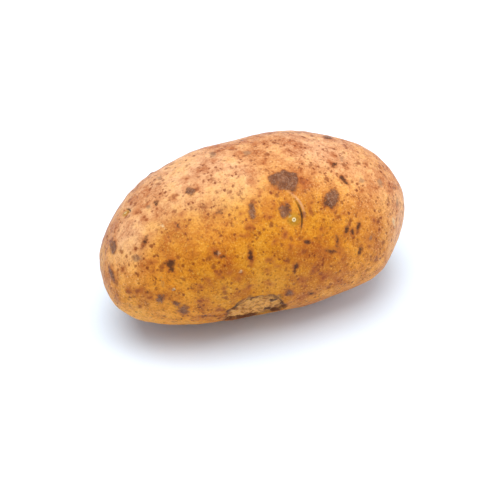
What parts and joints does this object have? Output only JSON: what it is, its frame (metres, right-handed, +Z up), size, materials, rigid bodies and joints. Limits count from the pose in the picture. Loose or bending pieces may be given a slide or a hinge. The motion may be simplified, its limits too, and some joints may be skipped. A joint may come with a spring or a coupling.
{
  "type": "potato",
  "caption": "Whole raw potato with an ochre, russet-flecked skin, shallow eyes and scabs; an elongated oval tuber lying on a small flat spot.",
  "frame": {"origin": "on the resting surface, under the middle of the tuber's bounding box", "axes": "+X along the tuber from its rose end (crowded eyes) to its stem end, +Z up, away from the resting flat"},
  "size_m": [0.1098, 0.0648, 0.0577],
  "materials": {
    "potato_skin": "thin corky potato skin, golden ochre with russet mottling, brown lenticel specks and rough grey-brown scabs; satin, slightly waxy"
  },
  "bodies": {
    "root": {"tuber": "potato_skin"}
  },
  "joints": []
}
